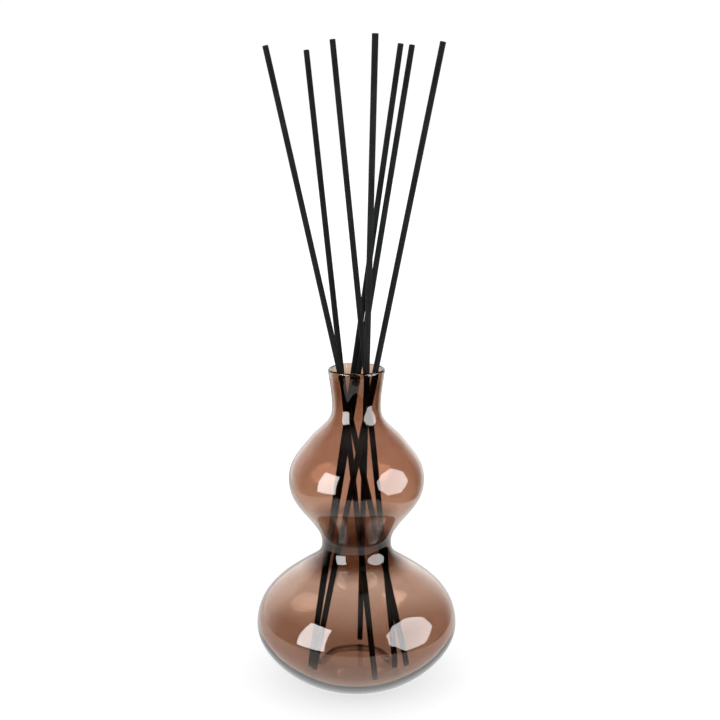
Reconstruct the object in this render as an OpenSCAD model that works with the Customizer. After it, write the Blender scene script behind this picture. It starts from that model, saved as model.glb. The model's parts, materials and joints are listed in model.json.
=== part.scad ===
// Double-gourd glass bottle with seven fibre reeds that stand loose in it.
// Millimetres. The origin is the centre of the resting face, +Z is up and -Y is the front.

/* [Bottle outline] */
// Height from the table to the top of the lip
bottle_h = 152; // [150:0.5:154]
// Outer radius of the lip
lip_r = 13.25; // [13:0.25:14]
// Outer radius at the narrowest part of the neck
neck_r = 11.4; // [11.2:0.1:12]
// Height of the narrowest part of the neck
neck_z = 133.5; // [132:0.5:135]
// Outer radius of the upper bulb
upper_r = 32; // [30:0.5:34]
// Height of the widest part of the upper bulb
upper_z = 99; // [97:0.5:101]
// Outer radius of the waist between the bulbs
waist_r = 16.5; // [16.2:0.1:17.5]
// Height of the waist
waist_z = 67; // [66:0.5:68]
// Outer radius of the lower bulb
belly_r = 48; // [46:0.5:50]
// Height of the widest part of the lower bulb
belly_z = 27; // [26:0.5:29]
// Outer radius of the ring that the bottle rests on
foot_r = 21; // [20:0.5:21.5]

/* [Glass] */
// Wall thickness over most of the bottle
wall = 1.5; // [1.3:0.1:1.6]
// Thickness of the glass at the bottom, which is blown thicker
base_wall = 2.75; // [2.5:0.25:4]
// Height of the punt, the hollow kicked up under the bottom
punt_h = 5; // [3:0.5:6.5]
// Width of the flat ring between the punt and the foot's outer edge
ring_w = 2.5; // [2:0.5:4]

/* [Reeds] */
// Diameter of a reed
reed_d = 2.8; // [2.4:0.1:2.8]
// Length of a reed
reed_l = 300; // [200:10:350]
// Space left between a reed's end and the glass under it
foot_gap = 0.25; // [0.1:0.05:0.5]

/* [Hidden] */
glass_colour = [0.55, 0.34, 0.25, 0.5];
reed_colour = [0.17, 0.16, 0.16];
curve_steps = 10;   // straight pieces in each span of the outline
lip_steps = 8;      // straight pieces round the fire-polished lip
dome_steps = 8;     // straight pieces up the side of the punt and of the floor inside
dome_side = 0.3;    // share of the punt's radius over which its side rises to the flat top
thinning = 0.5;     // how much thinner the glass is over the punt than at the foot
foot_lean = 8;      // direction in which the glass leaves the foot, in degrees
lip_lean = 83;      // direction of the flared neck where it meets the lip, in degrees

// Where each reed crosses the height of the waist, then where it crosses the height of the lip.
reed_paths = [
    [[ 11.1,  -6.8], [-8.2,  1.6]],
    [[  2.1, -11.2], [-7.4,  6.8]],
    [[ 12.7,  -3.7], [ 4.1,  4.7]],
    [[  3.0,  12.7], [ 4.7, -5.3]],
    [[-13.2,  -0.4], [-0.9,  9.5]],
    [[-12.5,  -3.6], [ 1.5,  7.5]],
    [[ -8.3, -10.2], [ 8.8, -4.9]]
];

// Where the outline turns from round to hollow, between the bulbs and the narrow places.
below_waist = [belly_r / 2, waist_z - (waist_z - belly_z) / 4];
above_waist = [waist_r + 4.5, waist_z + 11];
shoulder = [(upper_r + 1.15 * neck_r) / 2, (upper_z + neck_z) / 2 + 1.25];

// The outline is a chain of smooth spans. A station is a point that the glass passes through,
// the direction that the outline takes there in degrees, and its reach. The reach is how far
// the span above leans on its two end directions, as a share of its length.
foot_reach = 0.29;
reach = 0.39;
stations = [
    [[foot_r, 0], foot_lean, foot_reach],
    [[belly_r, belly_z], 90, reach],
    [below_waist, 145.5, reach],
    [[waist_r, waist_z], 90, reach],
    [above_waist, 53.5, reach],
    [[upper_r, upper_z], 90, reach],
    [shoulder, 127.5, reach],
    [[neck_r, neck_z], 90, reach],
    [[lip_r, bottle_h - wall / 2 * (1 + cos(lip_lean))], lip_lean, reach]
];

function heading(angle) = [cos(angle), sin(angle)];
function bezier(a, b, c, d, t) =
    (1 - t) ^ 3 * a + 3 * (1 - t) ^ 2 * t * b + 3 * (1 - t) * t ^ 2 * c + t ^ 3 * d;
function on_span(s, e, t) =
    let (lean = s[2] * norm(e[0] - s[0]))
    bezier(s[0], s[0] + lean * heading(s[1]), e[0] - lean * heading(e[1]), e[0], t);

outline = [
    for (i = [0 : len(stations) - 2], k = [0 : curve_steps - 1])
        on_span(stations[i], stations[i + 1], k / curve_steps),
    stations[len(stations) - 1][0]
];

// The inside follows the outside at the thickness of the glass, which grows towards the foot.
function thickness(z) = wall + (base_wall - wall) * max(0, 1 - z / belly_z);
function inward(i) =
    let (step = outline[min(i + 1, len(outline) - 1)] - outline[max(i - 1, 0)])
    i == 0 ? [0, 1] : [-step[1], step[0]] / norm(step);
lining = [for (i = [0 : len(outline) - 1]) outline[i] + thickness(outline[i][1]) * inward(i)];

lip_outer = outline[len(outline) - 1];
lip_inner = lining[len(lining) - 1];
lip_angle = atan2(lip_outer[1] - lip_inner[1], lip_outer[0] - lip_inner[0]);
lip = [
    for (k = [1 : lip_steps - 1])
        (lip_outer + lip_inner) / 2 + wall / 2 * heading(lip_angle + 180 * k / lip_steps)
];

// A low flat-topped dome of height h over the radius r, standing on the height z, from its rim
// to its middle.
function dome(r, h, z) = concat(
    [
        for (k = [0 : dome_steps])
            [r * (1 - dome_side * k / dome_steps), z + h * sin(90 * k / dome_steps) ^ 2]
    ],
    [[0, z + h]]
);
function turned(points) = [for (i = [len(points) - 1 : -1 : 0]) points[i]];

punt_r = foot_r - ring_w;
floor_dome = dome(foot_r, punt_h - thinning, base_wall);

module bottle() {
    color(glass_colour)
        rotate_extrude($fn = 128)
            polygon(concat(
                turned(dome(punt_r, punt_h, 0)),
                outline,
                lip,
                turned([for (i = [1 : len(lining) - 1]) lining[i]]),
                floor_dome
            ));
}

// A reed runs straight through its two points and stops just above the glass.
function at_height(i, z) =
    let (low = reed_paths[i][0], high = reed_paths[i][1])
    low + (high - low) * (z - waist_z) / (bottle_h - waist_z);
function run(i) =
    let (step = reed_paths[i][1] - reed_paths[i][0])
    [step[0], step[1], bottle_h - waist_z];
floor_inside = concat(
    turned(floor_dome),
    [for (p = lining) if (p[1] < belly_z) p]
);
function end_height(i, z) =
    let (p = at_height(i, z), spread = norm([run(i)[0], run(i)[1]]) / run(i)[2])
    foot_gap + max(
        lookup(norm(p) + reed_d / 2, floor_inside),
        lookup(norm(p), floor_inside) + reed_d / 2 * spread
    );
function end_of(i) = end_height(i, end_height(i, end_height(i, end_height(i, base_wall))));

module reed(i) {
    way = run(i);
    p = at_height(i, end_of(i));
    color(reed_colour)
        translate([p[0], p[1], end_of(i)])
            rotate([0, acos(way[2] / norm(way)), atan2(way[1], way[0])])
                cylinder(h = reed_l, d = reed_d, $fn = 48);
}

bottle();
reed(0);  // reed_1
reed(1);  // reed_2
reed(2);  // reed_3
reed(3);  // reed_4
reed(4);  // reed_5
reed(5);  // reed_6
reed(6);  // reed_7
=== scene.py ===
import json
import math

import bpy
import numpy as np
from mathutils import Matrix, Vector, noise


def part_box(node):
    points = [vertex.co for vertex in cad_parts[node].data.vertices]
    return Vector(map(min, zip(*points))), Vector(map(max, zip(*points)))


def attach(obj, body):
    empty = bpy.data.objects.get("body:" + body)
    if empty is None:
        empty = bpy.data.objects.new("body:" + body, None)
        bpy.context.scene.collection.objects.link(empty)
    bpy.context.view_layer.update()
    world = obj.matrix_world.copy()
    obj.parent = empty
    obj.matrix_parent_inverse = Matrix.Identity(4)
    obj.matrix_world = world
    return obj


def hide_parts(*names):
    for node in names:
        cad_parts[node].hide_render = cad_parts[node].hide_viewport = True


# A reed diffuser: a double-gourd bottle of brown glass with seven black fibre reeds.
# Everything is in metres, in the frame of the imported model.
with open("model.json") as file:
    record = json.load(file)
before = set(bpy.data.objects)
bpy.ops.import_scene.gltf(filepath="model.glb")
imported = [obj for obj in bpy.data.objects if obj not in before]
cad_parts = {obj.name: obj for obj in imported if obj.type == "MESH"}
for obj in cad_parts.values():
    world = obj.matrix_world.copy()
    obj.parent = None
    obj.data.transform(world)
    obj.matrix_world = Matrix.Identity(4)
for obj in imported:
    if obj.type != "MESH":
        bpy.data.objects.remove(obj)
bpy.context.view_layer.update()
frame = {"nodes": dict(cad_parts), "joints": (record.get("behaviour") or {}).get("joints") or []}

# ---------------------------------------------------------------- the bottle's mesh and glass
AROUND = 192              # faces round the bottle
RING_GAP = 0.0014         # widest gap between two rings of the bottle's mesh
SAME_RING = 0.00002       # rings closer than this are one ring
SMALL_BEND = 0.000002     # a ring this close to the line between its neighbours is not a bend
FLAT_STEP = 0.0015        # gap between the rings added on the flat middle of the floor
GLASS_WAVE = 0.00003      # how far blown glass wanders from a perfect turn
WAVES_ROUND = 1.7         # how quickly it wanders round the bottle
WAVE_RISE = 0.03          # height over which it wanders as much as round a radian
WAVE_START = 0.01         # height below which the waves die away towards the foot
GLASS_BODY = (0.30, 0.20, 0.10)     # colour of the glass itself, under the tint
GLASS_DEPTH = 150.0       # how strongly a metre of the glass takes up light
GLASS_IOR = 1.5
TINT_DRIFT = 0.004        # how far the tint wanders up and down
DRIFT_SCALE = 35.0        # how quickly it wanders from place to place

# What the tint on one wall lets through, by its share of the bottle's height. Besides the glass's
# own colour it holds painted shade and light: the dark band at the waist is painted shade and a
# painted dark reflection, and the paler bands on the bulbs are painted light.
GLASS_TINTS_AND_PAINTED_LIGHT = (
    (0.00, (0.62, 0.44, 0.35)),
    (0.11, (0.62, 0.43, 0.34)),
    (0.17, (0.74, 0.55, 0.46)),
    (0.27, (0.66, 0.46, 0.37)),
    (0.33, (0.89, 0.74, 0.65)),
    (0.375, (0.91, 0.78, 0.70)),
    (0.41, (0.20, 0.10, 0.06)),
    (0.47, (0.14, 0.07, 0.04)),
    (0.515, (0.36, 0.21, 0.14)),
    (0.55, (0.81, 0.61, 0.50)),
    (0.62, (0.78, 0.57, 0.46)),
    (0.68, (0.67, 0.44, 0.33)),
    (0.76, (0.70, 0.48, 0.39)),
    (0.86, (0.62, 0.41, 0.31)),
    (0.96, (0.46, 0.28, 0.19)),
    (1.00, (0.66, 0.48, 0.38)),
)

# ---------------------------------------------------------------- the reeds' mesh and fibre
REED_AROUND = 48          # faces round a reed
REED_RINGS = 150          # rings along a reed
FIBRE_RIDGE = 0.00004     # depth of the grooves between bundles of fibre
FIBRE_LUMP = 0.00002      # depth of the dips along a reed
LUMP_LENGTH = 0.004       # length of a dip
GROOVES = 6.0             # how closely the grooves stand round a reed
CUT_RINGS = (0.97, 0.75, 0.5, 0.25)     # rings on a cut end, as shares of the reed's radius
CUT_ROUGHNESS = 0.00012   # how uneven a reed's cut end is
CUT_GRAIN = 9.0           # how fine its unevenness is
REED_SHIFT = 10.0         # how far apart in the noise two reeds are, so that no two are alike
FIBRE_DARK = (0.006, 0.006, 0.006)
FIBRE_LIGHT = (0.026, 0.026, 0.027)
FIBRE_ROUGHNESS = (0.72, 0.95)
STREAK_SCALE = (2600, 2600, 110)        # streaks are fine across a reed and long along it
STREAK_DEPTH = 0.00006
BLOTCH_SCALE = 60.0

# ---------------------------------------------------------------- the studio
# The bottle stands on a small glowing table. In reflections it has a white backdrop behind it and
# two softboxes in a dark room in front of it. Seen straight, all that is plain white.
TABLE_LEFT, TABLE_RIGHT, TABLE_FRONT = -0.25, 0.15, -0.27
FLOOR_REACH = 6.0
AIR_GAP = 0.0002          # air between the foot and the floor, so that no two faces coincide
FLOOR_WHITE = 0.55
FLOOR_NEAR, FLOOR_FAR = 0.1, 0.6     # distances between which the floor's glow grows
GLOW_NEAR, GLOW_FAR = 0.66, 0.80
# The table's glow in reflections: its strength at two distances behind the bottle, and how much
# stronger it is close under the glass.
TABLE_FADE = ((0.2, 0.6), (0.9, 0.5))
TABLE_UNDER = ((0.03, 0.09), (1.4, 1.0))
SOFT_COLOUR = (0.88, 0.95, 1.0)
SOFT_SHARE = 0.20         # share of a softbox's light that falls on matt surfaces
SOFTBOXES = (             # name, place, width, height, number of sides, strength
    ("softbox_left", (-0.46, -0.386, 0.305), 0.35, 0.61, 4, 11.0),
    ("softbox_right", (0.50, -0.233, 0.270), 0.62, 0.62, 8, 8.0),
)
SKY_SEEN, SKY_LIGHT = 1.02, 0.70     # strength of the white where it is seen, and as a light
# The room round the bottle in reflections. Its edges are given as parts of a direction of
# length 1: how far it points to the back for the backdrop's side edge, and how far up it points
# for the backdrop's top edge and for the edge of the ceiling.
BACKDROP = 1.3
BACKDROP_TURN = 0.20      # how far the backdrop is turned towards the left
BACKDROP_SIDE = (0.30, 0.95)
BACKDROP_TOP = (0.525, 0.65)
CEILING = 0.3
CEILING_EDGE = (0.75, 1.0)
DARK_ROOM = 0.01

CAMERA_PLACE = (0, -0.510, 0.260)
CAMERA_DOWN = 11.54       # degrees below level
CAMERA_LENS = 56.2        # millimetres
CAMERA_SENSOR = 36        # millimetres
CAMERA_SHIFT = 0.0049


# ---------------------------------------------------------------- mesh helpers
def new_piece(name, points, faces, material, smooth=True):
    """A mesh object from arrays of points and faces."""
    mesh = bpy.data.meshes.new(name)
    mesh.from_pydata([tuple(p) for p in points], [], faces)
    mesh.validate()
    mesh.polygons.foreach_set("use_smooth", [smooth] * len(mesh.polygons))
    mesh.materials.append(material)
    mesh.update()
    piece = bpy.data.objects.new(name, mesh)
    bpy.context.scene.collection.objects.link(piece)
    return piece


def circle(count):
    """The directions of count points round a circle."""
    return 2 * math.pi * np.arange(count) / count


def ring_faces(rings, around):
    """Quads between each ring of points and the next."""
    faces = []
    for i in range(rings - 1):
        for k in range(around):
            n = (k + 1) % around
            faces.append((i * around + k, i * around + n, (i + 1) * around + n, (i + 1) * around + k))
    return faces


def smooth_curve(points, gap):
    """A natural cubic spline through the points, with its own points at most gap apart."""
    steps = np.linalg.norm(np.diff(points, axis=0), axis=1)
    n = len(points)
    system = np.eye(n)
    right = np.zeros((n, 2))
    for i in range(1, n - 1):
        before, after = steps[i - 1], steps[i]
        system[i, i - 1 : i + 2] = before, 2 * (before + after), after
        right[i] = 6 * ((points[i + 1] - points[i]) / after - (points[i] - points[i - 1]) / before)
    bend = np.linalg.solve(system, right)
    made = []
    for i, length in enumerate(steps):
        pieces = math.ceil(length / gap)
        for b in np.arange(pieces) / pieces:
            a = 1 - b
            straight = a * points[i] + b * points[i + 1]
            bulge = (a**3 - a) * bend[i] + (b**3 - b) * bend[i + 1]
            made.append(straight + bulge * length**2 / 6)
    made.append(points[-1])
    return np.array(made)


# ---------------------------------------------------------------- node helpers
def set_input(tree, socket, value):
    """Link an output to the socket, or set the socket's own value."""
    if isinstance(value, bpy.types.NodeSocket):
        tree.links.new(value, socket)
    else:
        socket.default_value = value


def add_node(tree, kind, inputs, output=0, **settings):
    """Add a node with its settings and inputs, and return one of its outputs."""
    node = tree.nodes.new(kind)
    for name, value in settings.items():
        setattr(node, name, value)
    for key, value in inputs.items():
        set_input(tree, node.inputs[key], value)
    return node.outputs[output]


def calculate(tree, operation, *values):
    """A Math node on numbers or outputs."""
    return add_node(tree, "ShaderNodeMath", dict(enumerate(values)), operation=operation)


def map_range(tree, value, span, result, kind="LINEAR"):
    """Maps the first span of values onto the second, and holds it at the ends."""
    inputs = {"Value": value, "From Min": span[0], "From Max": span[1]}
    inputs.update({"To Min": result[0], "To Max": result[1]})
    return add_node(tree, "ShaderNodeMapRange", inputs, interpolation_type=kind)


def ramp(tree, value, stops):
    """A colour ramp over the value, from pairs of position and colour."""
    node = tree.nodes.new("ShaderNodeValToRGB")
    elements = node.color_ramp.elements
    while len(elements) < len(stops):
        elements.new(0.5)
    for element, (position, colour) in zip(elements, stops):
        element.position = position
        element.color = (*colour, 1)
    tree.links.new(value, node.inputs["Fac"])
    return node.outputs["Color"]


def mix_shaders(tree, share, first, second):
    return add_node(tree, "ShaderNodeMixShader", {0: share, 1: first, 2: second})


def new_material(name):
    """A material with nodes, its node tree and its Principled shader."""
    material = bpy.data.materials.new(name)
    material.use_nodes = True
    tree = material.node_tree
    return material, tree, tree.nodes["Principled BSDF"]


def object_place(tree):
    return add_node(tree, "ShaderNodeTexCoord", {}, "Object")


# ---------------------------------------------------------------- materials
def brown_glass():
    """Clear blown glass with a translucent brown tint on its faces. The tint by height is partly the
    glass's colour and partly painted shade and light: painted darkest at the waist as shade and a
    dark reflection, deeper in the neck, and paler in painted bands of light on the bulbs. It drifts a
    little round the bottle, as a sprayed tint does."""
    material, tree, shader = new_material("brown_glass")
    place = object_place(tree)
    height = add_node(tree, "ShaderNodeSeparateXYZ", {0: place}, "Z")
    inputs = {"Vector": place, "Scale": DRIFT_SCALE, "Detail": 2.0}
    drift = add_node(tree, "ShaderNodeTexNoise", inputs, "Fac")
    level = calculate(tree, "MULTIPLY_ADD", drift, TINT_DRIFT, height)
    share = map_range(tree, level, (0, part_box("bottle")[1][2]), (0, 1))
    # The ramp's colours are the glass's tint together with painted shade and light by height.
    set_input(tree, shader.inputs["Base Color"], ramp(tree, share, GLASS_TINTS_AND_PAINTED_LIGHT))
    shader.inputs["Transmission Weight"].default_value = 1.0
    shader.inputs["Roughness"].default_value = 0.0
    shader.inputs["IOR"].default_value = GLASS_IOR
    inputs = {"Color": (*GLASS_BODY, 1), "Density": GLASS_DEPTH}
    body = add_node(tree, "ShaderNodeVolumeAbsorption", inputs)
    tree.links.new(body, tree.nodes["Material Output"].inputs["Volume"])
    return material


def black_fibre():
    """Matt black bonded fibre, with streaks along the reed."""
    material, tree, shader = new_material("black_fibre")
    place = object_place(tree)
    stretched = add_node(tree, "ShaderNodeMapping", {"Vector": place, "Scale": STREAK_SCALE})
    inputs = {"Vector": stretched, "Scale": 1.0, "Detail": 4.0, "Roughness": 0.6}
    streaks = add_node(tree, "ShaderNodeTexNoise", inputs, "Fac")
    inputs = {"Vector": place, "Scale": BLOTCH_SCALE, "Detail": 2.0}
    blotches = add_node(tree, "ShaderNodeTexNoise", inputs, "Fac")
    both = calculate(tree, "MULTIPLY", streaks, blotches)
    colour = ramp(tree, both, ((0.1, FIBRE_DARK), (0.45, FIBRE_LIGHT)))
    set_input(tree, shader.inputs["Base Color"], colour)
    set_input(tree, shader.inputs["Roughness"], map_range(tree, streaks, (0, 1), FIBRE_ROUGHNESS))
    inputs = {"Height": streaks, "Strength": 0.6, "Distance": STREAK_DEPTH}
    set_input(tree, shader.inputs["Normal"], add_node(tree, "ShaderNodeBump", inputs))
    shader.inputs["Specular IOR Level"].default_value = 0.2
    shader.inputs["Sheen Weight"].default_value = 0.05
    return material


# ---------------------------------------------------------------- the bottle
def same_rings(spots):
    """For each (radius, height), the first one found on the same ring of the turned bottle."""
    ring_of = {}
    for spot in sorted(set(spots)):
        near = [ring for ring in ring_of.values() if math.dist(ring, spot) < SAME_RING]
        ring_of[spot] = near[0] if near else spot
    return [ring_of[spot] for spot in spots]


def bends(line):
    """The points where a line bends, and its two ends. The CAD mesh has more rings than these,
    on the straight pieces between them."""
    kept = [line[0]]
    for before, here, after in zip(line, line[1:], line[2:]):
        run, rise = after[0] - before[0], after[1] - before[1]
        area = abs(run * (here[1] - before[1]) - rise * (here[0] - before[0]))
        if area / math.dist(before, after) > SMALL_BEND:
            kept.append(here)
    return kept + [line[-1]]


def flat_middle(rim):
    """Rings at a rim's height, from the middle out to just inside it."""
    return [(radius, rim[1]) for radius in np.arange(0, rim[0] - FLAT_STEP, FLAT_STEP)]


def glass_section():
    """The glass's section as (radius, height), from the middle of its underside, round the lip,
    to the middle of its floor inside. It is read from the CAD bottle, ring by ring."""
    mesh = frame["nodes"]["bottle"].data
    spots = [(round(math.hypot(v.co.x, v.co.y), 6), round(v.co.z, 6)) for v in mesh.vertices]
    rings = same_rings(spots)
    beside = {}
    for edge in mesh.edges:
        a, b = (rings[i] for i in edge.vertices)
        if a != b:
            beside.setdefault(a, set()).add(b)
            beside.setdefault(b, set()).add(a)
    rims = [ring for ring in beside if len(beside[ring]) == 1]
    lower, upper = sorted(rims, key=lambda ring: ring[1])
    walk = [lower]
    while walk[-1] != upper:
        onward = [ring for ring in beside[walk[-1]] if ring not in walk]
        walk.append(min(onward, key=lambda ring: math.dist(ring, walk[-1])))
    return np.array(flat_middle(lower) + bends(walk) + flat_middle(upper)[::-1])


def make_bottle(material):
    """The bottle as one smooth turned body with its real walls, lip and punt."""
    section = np.maximum(smooth_curve(glass_section(), RING_GAP), 0)
    points = [(0, 0, section[0][1])]
    for radius, height in section[1:-1]:
        for angle in circle(AROUND):
            x, y = math.cos(angle), math.sin(angle)
            way = Vector((x, y, height / WAVE_RISE))
            wave = GLASS_WAVE * noise.noise(way * WAVES_ROUND) * min(1, height / WAVE_START)
            points.append((x * (radius + wave), y * (radius + wave), height))
    points.append((0, 0, section[-1][1]))
    rings = len(section) - 2
    faces = [tuple(1 + i for i in face) for face in ring_faces(rings, AROUND)]
    last = 1 + (rings - 1) * AROUND
    for k in range(AROUND):
        n = (k + 1) % AROUND
        faces.append((0, 1 + n, 1 + k))
        faces.append((last + k, last + n, len(points) - 1))
    bottle = new_piece("bottle_glass", points, faces, material)
    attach(bottle, "bottle")
    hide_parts("bottle")


# ---------------------------------------------------------------- the reeds
def reed_line(node, way):
    """Where a CAD reed starts, how long it is and its radius, for a reed that runs along way."""
    points = np.array([v.co for v in frame["nodes"][node].data.vertices])
    along = points @ way
    side = points - np.outer(along, way)
    centre = (side.max(0) + side.min(0)) / 2
    radius = np.linalg.norm(side - centre, axis=1).max()
    return centre + along.min() * way, along.max() - along.min(), radius


def reed_side(radius, length, seed):
    """The points of a reed's side, with shallow grooves along it and dips in it."""
    shift = Vector((0, 0, REED_SHIFT * seed))
    angles = circle(REED_AROUND)
    rounds = [GROOVES * Vector((math.cos(a), math.sin(a), 0)) for a in angles]
    grooves = [noise.noise(spot + shift) for spot in rounds]
    points = []
    for height in np.linspace(0, length, REED_RINGS):
        for a, groove in zip(angles, grooves):
            spot = Vector((math.cos(a), math.sin(a), height / LUMP_LENGTH))
            lump = noise.noise(spot + shift)
            r = radius - FIBRE_RIDGE * (0.5 + 0.5 * groove) - FIBRE_LUMP * (0.5 + 0.5 * lump)
            points.append((r * math.cos(a), r * math.sin(a), height))
    return points


def add_cut_end(points, faces, rim, radius, inward, seed):
    """Closes a reed with a rough cut face. rim is its first rim point, inward is 1 or -1."""
    shift = Vector((0, 0, REED_SHIFT * seed))
    height = points[rim][2]
    before = rim
    for share in CUT_RINGS:
        first = len(points)
        for a in circle(REED_AROUND):
            x, y = share * math.cos(a), share * math.sin(a)
            grain = noise.noise(CUT_GRAIN * Vector((x, y, 0)) + shift)
            sunk = CUT_ROUGHNESS * (0.5 + 0.5 * grain)
            points.append((radius * x, radius * y, height + inward * sunk))
        for k in range(REED_AROUND):
            n = (k + 1) % REED_AROUND
            faces.append((before + k, first + k, first + n, before + n)[::inward])
        before = first
    points.append((0, 0, height + inward * CUT_ROUGHNESS / 2))
    for k in range(REED_AROUND):
        n = (k + 1) % REED_AROUND
        faces.append((before + k, len(points) - 1, before + n)[::inward])


def make_reed(node, way, material, seed):
    """A stick of bonded fibre with square-cut ends, that runs along way."""
    start, length, radius = reed_line(node, np.array(way))
    points = reed_side(radius, length, seed)
    faces = ring_faces(REED_RINGS, REED_AROUND)
    add_cut_end(points, faces, 0, radius, 1, seed)
    add_cut_end(points, faces, (REED_RINGS - 1) * REED_AROUND, radius, -1, seed)
    reed = new_piece(node + "_stick", points, faces, material)
    turn = Vector((0, 0, 1)).rotation_difference(Vector(way)).to_matrix().to_4x4()
    reed.matrix_world = Matrix.Translation(start) @ turn
    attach(reed, node)
    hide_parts(node)


# ---------------------------------------------------------------- the studio's light
def seen_straight(tree, first_depth=0):
    """1 for a ray that has only passed through glass. first_depth is the depth of a camera ray."""
    path = tree.nodes.new("ShaderNodeLightPath").outputs
    bounces = calculate(tree, "SUBTRACT", path["Ray Depth"], path["Transmission Depth"])
    return calculate(tree, "LESS_THAN", bounces, first_depth + 0.5)


def outside_reflections(tree, first_depth=0):
    """1 for a ray seen straight or one that lights a matt surface, and 0 in reflections."""
    path = tree.nodes.new("ShaderNodeLightPath").outputs
    lighting = calculate(tree, "GREATER_THAN", path["Diffuse Depth"], 0.5)
    return calculate(tree, "MAXIMUM", seen_straight(tree, first_depth), lighting)


def distance_out(tree):
    """The distance from the middle of the bottle's foot."""
    return add_node(tree, "ShaderNodeVectorMath", {0: object_place(tree)}, "Value", operation="LENGTH")


def no_mirror(tree):
    """What the glass mirrors of the floor round the table: nothing."""
    return add_node(tree, "ShaderNodeBsdfTransparent", {})


def table_mirror(tree):
    """What the glass mirrors of the table: a glow that fades behind the bottle."""
    back = add_node(tree, "ShaderNodeSeparateXYZ", {0: object_place(tree)}, "Y")
    fade = map_range(tree, back, *TABLE_FADE)
    under = map_range(tree, distance_out(tree), *TABLE_UNDER)
    strength = calculate(tree, "MULTIPLY", fade, under)
    return add_node(tree, "ShaderNodeEmission", {"Strength": strength})


def white_acrylic(name, mirror):
    """White acrylic, lit from below as well as from above. mirror makes what shows of it in
    reflections."""
    material, tree, shader = new_material(name)
    shader.inputs["Base Color"].default_value = (FLOOR_WHITE, FLOOR_WHITE, FLOOR_WHITE, 1)
    shader.inputs["Roughness"].default_value = 0.9
    shader.inputs["Specular IOR Level"].default_value = 0.0
    shader.inputs["Emission Color"].default_value = (1, 1, 1, 1)
    far = distance_out(tree)
    glow = map_range(tree, far, (FLOOR_NEAR, FLOOR_FAR), (GLOW_NEAR, GLOW_FAR))
    set_input(tree, shader.inputs["Emission Strength"], glow)
    mix = mix_shaders(tree, outside_reflections(tree), mirror(tree), shader.outputs[0])
    tree.links.new(mix, tree.nodes["Material Output"].inputs["Surface"])
    return material


def flat_piece(name, corners, material):
    """A flat stage piece from its corners."""
    piece = new_piece(name, corners, [tuple(range(len(corners)))], material, smooth=False)
    return piece


def floor_piece(name, x0, x1, y0, y1, material):
    """One rectangle of the floor."""
    z = -AIR_GAP
    flat_piece(name, [(x0, y0, z), (x1, y0, z), (x1, y1, z), (x0, y1, z)], material)


def make_floor():
    """The table, and the floor in front of it and on both sides."""
    reach = FLOOR_REACH
    table_top = white_acrylic("table_top", table_mirror)
    floor_round = white_acrylic("floor_round", no_mirror)
    floor_piece("table", TABLE_LEFT, TABLE_RIGHT, TABLE_FRONT, reach, table_top)
    floor_piece("floor_front", -reach, reach, -reach, TABLE_FRONT, floor_round)
    floor_piece("floor_left", -reach, TABLE_LEFT, TABLE_FRONT, reach, floor_round)
    floor_piece("floor_right", TABLE_RIGHT, reach, TABLE_FRONT, reach, floor_round)


def make_softbox(name, place, width, height, sides, strength):
    """A glowing polygon that faces the bottle. It isn't seen straight, only mirrored."""
    material, tree, shader = new_material(name)
    mirrored = tree.nodes.new("ShaderNodeLightPath").outputs["Is Singular Ray"]
    power = map_range(tree, mirrored, (0, 1), (strength * SOFT_SHARE, strength))
    glow = add_node(tree, "ShaderNodeEmission", {"Color": (*SOFT_COLOUR, 1), "Strength": power})
    unseen = add_node(tree, "ShaderNodeBsdfTransparent", {})
    mix = mix_shaders(tree, seen_straight(tree), glow, unseen)
    tree.links.new(mix, tree.nodes["Material Output"].inputs["Surface"])
    tree.nodes.remove(shader)
    aim = Vector((0, 0, place[2])) - Vector(place)
    turn = aim.to_track_quat("Z", "Y").to_matrix().to_4x4()
    stretch = 1 / math.cos(math.pi / sides)
    corners = []
    for k in range(sides):
        a = 2 * math.pi * (k + 0.5) / sides
        spot = Vector((width / 2 * stretch * math.cos(a), height / 2 * stretch * math.sin(a), 0))
        corners.append(Matrix.Translation(place) @ turn @ spot)
    flat_piece(name, corners, material).visible_camera = False


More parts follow.
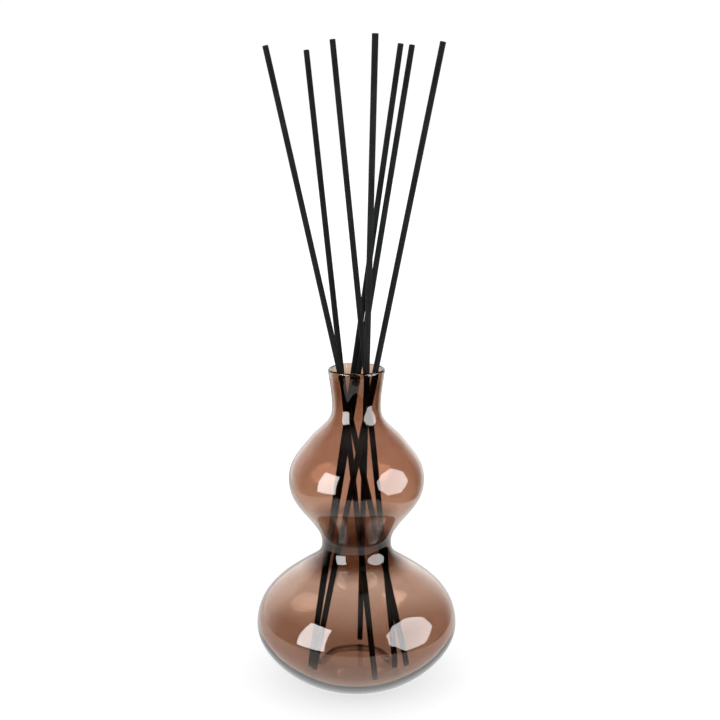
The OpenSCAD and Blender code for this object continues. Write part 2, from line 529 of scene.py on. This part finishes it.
def studio_world():
    """White where it is seen straight and as a light on matt surfaces. In reflections it is a
    dark room with a white backdrop behind the bottle and a grey ceiling."""
    world = bpy.data.worlds.new("studio")
    world.use_nodes = True
    world.cycles.sampling_method = "NONE"
    tree = world.node_tree
    tree.nodes.clear()
    way = tree.nodes.new("ShaderNodeSeparateXYZ")
    tree.links.new(add_node(tree, "ShaderNodeTexCoord", {}, "Generated"), way.inputs[0])
    x, y, z = way.outputs
    turned = calculate(tree, "MULTIPLY_ADD", x, -BACKDROP_TURN, y)
    behind = map_range(tree, turned, BACKDROP_SIDE, (0, BACKDROP), "SMOOTHSTEP")
    low = map_range(tree, z, BACKDROP_TOP, (1, 0))
    backdrop = calculate(tree, "MULTIPLY", behind, low)
    ceiling = map_range(tree, z, CEILING_EDGE, (0, CEILING))
    room = calculate(tree, "ADD", calculate(tree, "ADD", backdrop, ceiling), DARK_ROOM)
    depth = tree.nodes.new("ShaderNodeLightPath").outputs["Diffuse Depth"]
    sky = map_range(tree, depth, (0, 1), (SKY_SEEN, SKY_LIGHT))
    white = (1, 1, 1, 1)
    mirrored = add_node(tree, "ShaderNodeBackground", {"Color": white, "Strength": room})
    straight = add_node(tree, "ShaderNodeBackground", {"Color": white, "Strength": sky})
    mix = mix_shaders(tree, outside_reflections(tree, first_depth=1), mirrored, straight)
    tree.links.new(mix, tree.nodes.new("ShaderNodeOutputWorld").inputs["Surface"])
    bpy.context.scene.world = world


def make_camera():
    """The camera, in front of the bottle and looking a little down."""
    data = bpy.data.cameras.new("camera")
    data.sensor_width = CAMERA_SENSOR
    data.lens = CAMERA_LENS
    data.shift_x = CAMERA_SHIFT
    camera = bpy.data.objects.new("camera", data)
    camera.location = CAMERA_PLACE
    camera.rotation_euler = (math.radians(90 - CAMERA_DOWN), 0, 0)
    bpy.context.scene.collection.objects.link(camera)
    bpy.context.scene.camera = camera


# ---------------------------------------------------------------- the scene
make_bottle(brown_glass())
fibre = black_fibre()
for number, joint in enumerate(frame["joints"]):
    make_reed(joint["child"], joint["axis"], fibre, number)

make_floor()
for softbox in SOFTBOXES:
    make_softbox(*softbox)
studio_world()
make_camera()
bpy.context.scene.view_settings.view_transform = "Standard"
